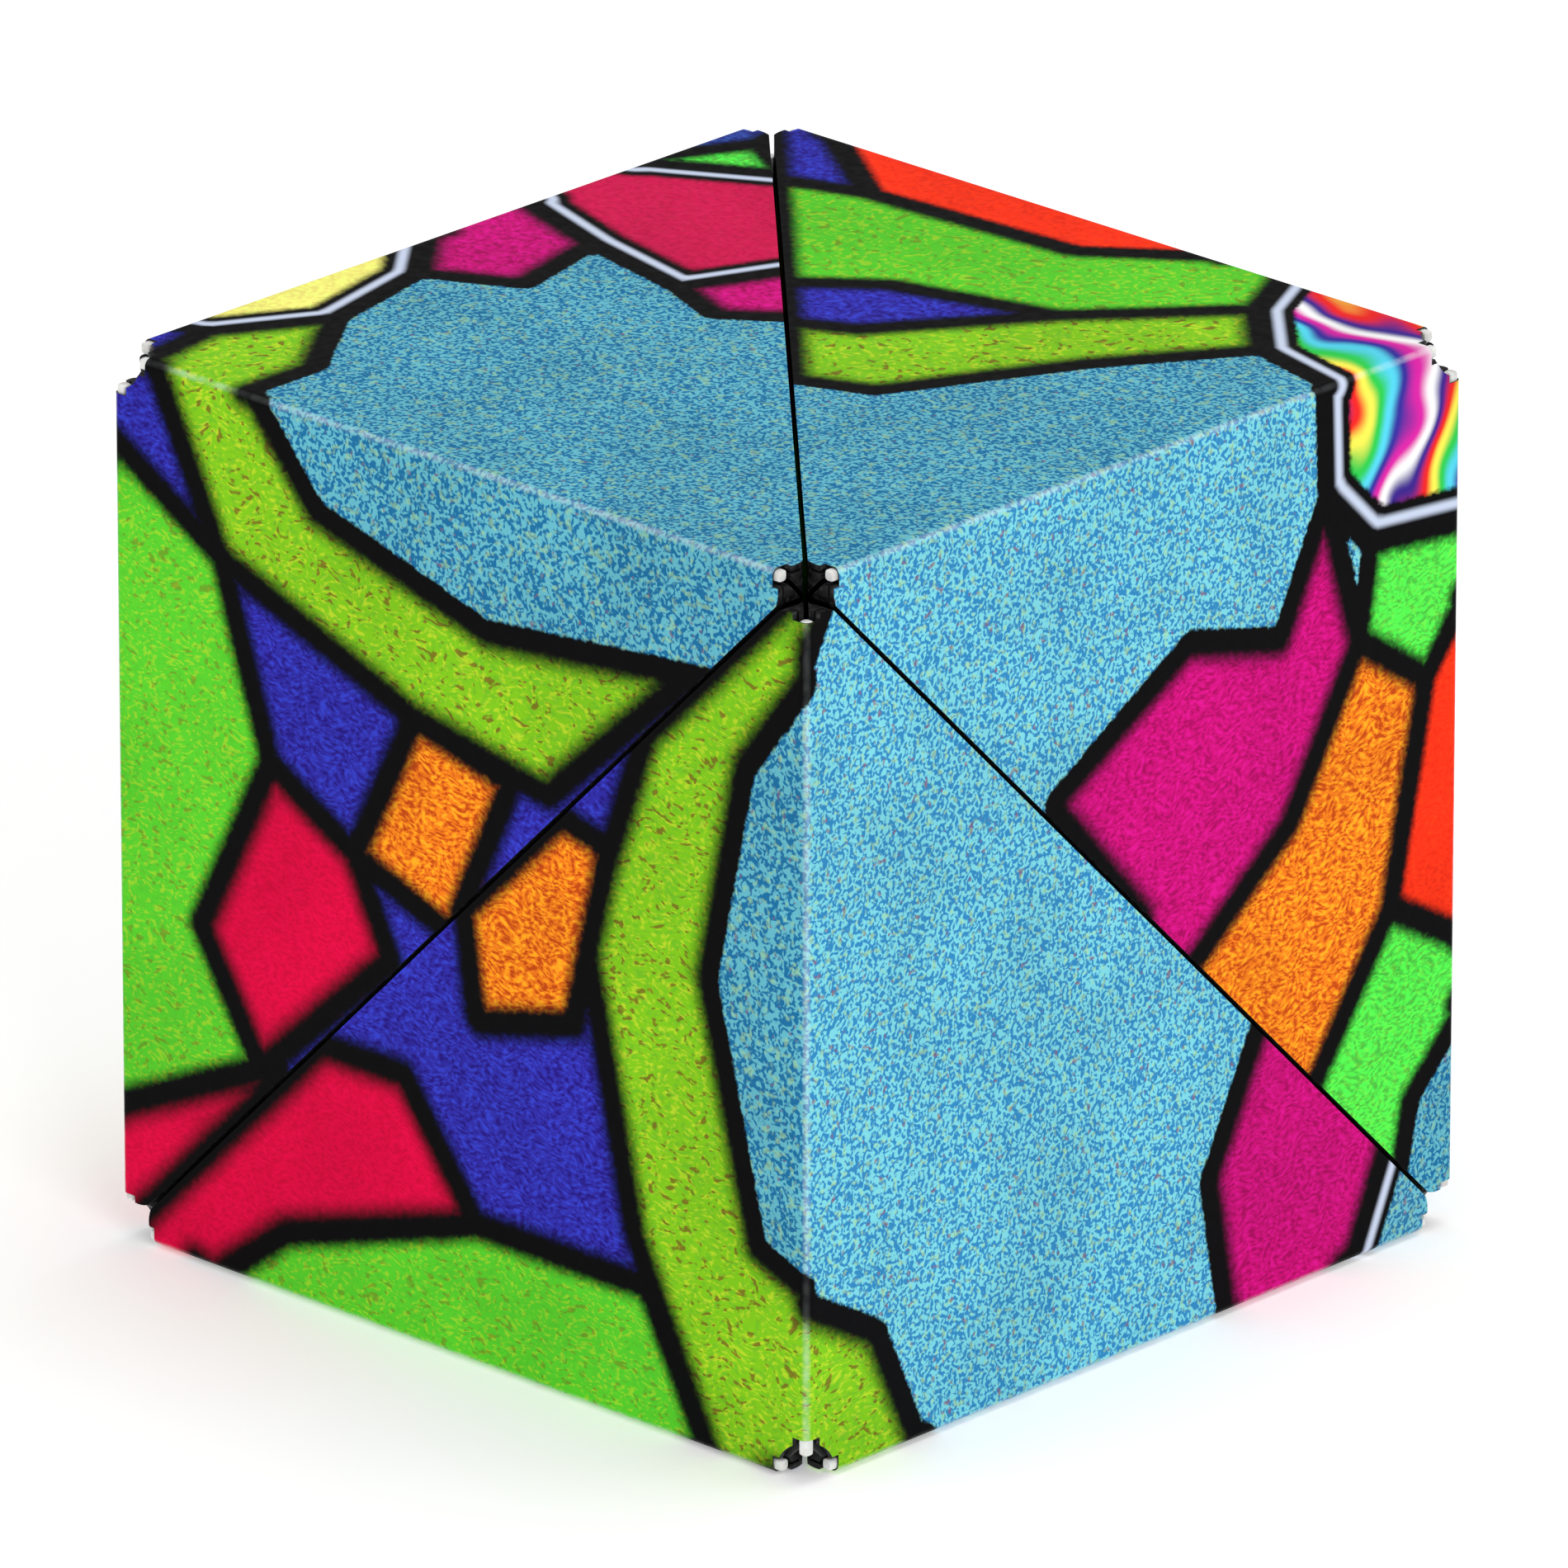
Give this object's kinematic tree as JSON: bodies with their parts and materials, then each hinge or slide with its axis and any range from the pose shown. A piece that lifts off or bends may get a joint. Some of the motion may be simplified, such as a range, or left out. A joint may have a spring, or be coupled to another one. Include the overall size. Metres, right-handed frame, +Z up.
{
  "type": "magnetic folding cube puzzle",
  "caption": "Cube puzzle of equal pyramid modules in a hinged ring: film hinges on the cube's edges let it fold inside out, and magnets behind the inner faces hold each shape.",
  "frame": {"origin": "centre of the bottom face of the closed cube", "axes": "+Z up; the three creases of the near corner run from (+X, -Y, +Z)"},
  "size_m": [0.057, 0.057, 0.057],
  "materials": {
    "black_plastic": "fine satin moulded plastic",
    "nickel_magnet": "nickel-plated sintered magnet",
    "print_laminate": "printed film with satin lamination",
    "white_film": "plain white flexible film"
  },
  "bodies": {
    "module_01": {"housing_01": "black_plastic", "lid_01": "black_plastic", "magnets_01": "nickel_magnet", "print_film_01": "print_laminate", "film_hinge_01": "white_film"},
    "module_02": {"housing_02": "black_plastic", "lid_02": "black_plastic", "magnets_02": "nickel_magnet", "print_film_02": "print_laminate", "film_hinge_02": "white_film"},
    "module_03": {"housing_03": "black_plastic", "lid_03": "black_plastic", "magnets_03": "nickel_magnet", "print_film_03": "print_laminate", "film_hinge_03": "white_film"},
    "module_04": {"housing_04": "black_plastic", "lid_04": "black_plastic", "magnets_04": "nickel_magnet", "print_film_04": "print_laminate", "film_hinge_04": "white_film"},
    "module_05": {"housing_05": "black_plastic", "lid_05": "black_plastic", "magnets_05": "nickel_magnet", "print_film_05": "print_laminate", "film_hinge_05": "white_film"},
    "module_06": {"housing_06": "black_plastic", "lid_06": "black_plastic", "magnets_06": "nickel_magnet", "print_film_06": "print_laminate", "film_hinge_06": "white_film"},
    "module_07": {"housing_07": "black_plastic", "lid_07": "black_plastic", "magnets_07": "nickel_magnet", "print_film_07": "print_laminate", "film_hinge_07": "white_film"},
    "module_08": {"housing_08": "black_plastic", "lid_08": "black_plastic", "magnets_08": "nickel_magnet", "print_film_08": "print_laminate", "film_hinge_08": "white_film"},
    "module_09": {"housing_09": "black_plastic", "lid_09": "black_plastic", "magnets_09": "nickel_magnet", "print_film_09": "print_laminate", "film_hinge_09": "white_film"},
    "module_10": {"housing_10": "black_plastic", "lid_10": "black_plastic", "magnets_10": "nickel_magnet", "print_film_10": "print_laminate", "film_hinge_10": "white_film"},
    "module_11": {"housing_11": "black_plastic", "lid_11": "black_plastic", "magnets_11": "nickel_magnet", "print_film_11": "print_laminate", "film_hinge_11": "white_film"},
    "module_12": {"housing_12": "black_plastic", "lid_12": "black_plastic", "magnets_12": "nickel_magnet", "print_film_12": "print_laminate", "film_hinge_12": "white_film"}
  },
  "joints": [
    {"name": "fold_09", "type": "hinge", "parent": "module_08", "child": "module_09", "pos_m": [0, -0.028, 0.0565], "axis": [-1, 0, 0], "range_deg": [0, 180]},
    {"name": "fold_10", "type": "hinge", "parent": "module_09", "child": "module_10", "pos_m": [-0.028, -0.028, 0.0285], "axis": [0, 0, 1], "range_deg": [0, 180]},
    {"name": "fold_11", "type": "hinge", "parent": "module_10", "child": "module_11", "pos_m": [-0.028, 0, 0.0005], "axis": [0, 1, 0], "range_deg": [0, 180]},
    {"name": "fold_12", "type": "hinge", "parent": "module_11", "child": "module_12", "pos_m": [0, -0.028, 0.0005], "axis": [1, 0, 0], "range_deg": [0, 180]},
    {"name": "fold_01", "type": "hinge", "parent": "module_12", "child": "module_01", "pos_m": [0.028, -0.028, 0.0285], "axis": [0, 0, -1], "range_deg": [0, 180]},
    {"name": "fold_02", "type": "hinge", "parent": "module_01", "child": "module_02", "pos_m": [0.028, 0, 0.0005], "axis": [0, -1, 0], "range_deg": [0, 180]},
    {"name": "fold_08", "type": "hinge", "parent": "module_08", "child": "module_07", "pos_m": [-0.028, 0, 0.0565], "axis": [0, 1, 0], "range_deg": [0, 180]},
    {"name": "fold_07", "type": "hinge", "parent": "module_07", "child": "module_06", "pos_m": [-0.028, 0.028, 0.0285], "axis": [0, 0, 1], "range_deg": [0, 180]},
    {"name": "fold_06", "type": "hinge", "parent": "module_06", "child": "module_05", "pos_m": [0, 0.028, 0.0565], "axis": [-1, 0, 0], "range_deg": [0, 180]},
    {"name": "fold_05", "type": "hinge", "parent": "module_05", "child": "module_04", "pos_m": [0.028, 0, 0.0565], "axis": [0, -1, 0], "range_deg": [0, 180]},
    {"name": "fold_04", "type": "hinge", "parent": "module_04", "child": "module_03", "pos_m": [0.028, 0.028, 0.0285], "axis": [0, 0, -1], "range_deg": [0, 180]}
  ],
  "couplings": [
    {"joint": "fold_10", "follows": "fold_09", "ratio": 1},
    {"joint": "fold_11", "follows": "fold_09", "ratio": 1},
    {"joint": "fold_12", "follows": "fold_09", "ratio": 1},
    {"joint": "fold_01", "follows": "fold_09", "ratio": 1},
    {"joint": "fold_02", "follows": "fold_09", "ratio": 1},
    {"joint": "fold_08", "follows": "fold_09", "ratio": 1},
    {"joint": "fold_07", "follows": "fold_09", "ratio": 1},
    {"joint": "fold_06", "follows": "fold_09", "ratio": 1},
    {"joint": "fold_05", "follows": "fold_09", "ratio": 1},
    {"joint": "fold_04", "follows": "fold_09", "ratio": 1}
  ]
}
